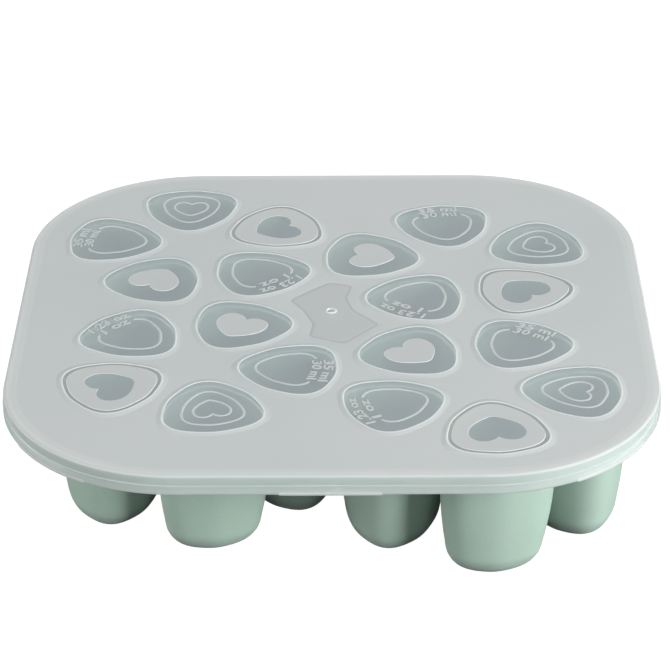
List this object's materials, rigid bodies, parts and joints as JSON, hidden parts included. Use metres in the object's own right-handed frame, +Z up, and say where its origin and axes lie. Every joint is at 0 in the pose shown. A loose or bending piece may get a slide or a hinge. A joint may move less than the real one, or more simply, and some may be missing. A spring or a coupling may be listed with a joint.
{
  "type": "baby food freezer tray",
  "caption": "Square silicone freezer tray with rounded corners: deep rounded-triangle cups set in a scattered layout under a shallow frosted push-on lid with a clear window over each cup.",
  "frame": {"origin": "on the resting plane, below the middle of the tray", "axes": "+Z up through the lid, +X to the right and +Y to the back, square with the lid's sides"},
  "size_m": [0.2256, 0.2256, 0.052],
  "materials": {
    "frosted_lid": "frosted translucent polypropylene, with polished clear windows",
    "silicone": "soft matt silicone, sage green"
  },
  "bodies": {
    "tray": {"tray_deck": "silicone", "cup_01": "silicone", "cup_02": "silicone", "cup_03": "silicone", "cup_04": "silicone", "cup_05": "silicone", "cup_06": "silicone", "cup_07": "silicone", "cup_08": "silicone", "cup_09": "silicone", "cup_10": "silicone", "cup_11": "silicone", "cup_12": "silicone", "cup_13": "silicone", "cup_14": "silicone", "cup_15": "silicone", "cup_16": "silicone", "cup_17": "silicone", "cup_18": "silicone", "cup_19": "silicone", "cup_20": "silicone"},
    "lid": {"lid": "frosted_lid"}
  },
  "joints": [
    {"name": "lid_lift", "type": "slide", "parent": "tray", "child": "lid", "axis": [0, 0, 1], "range_m": [0, 0.08]}
  ]
}
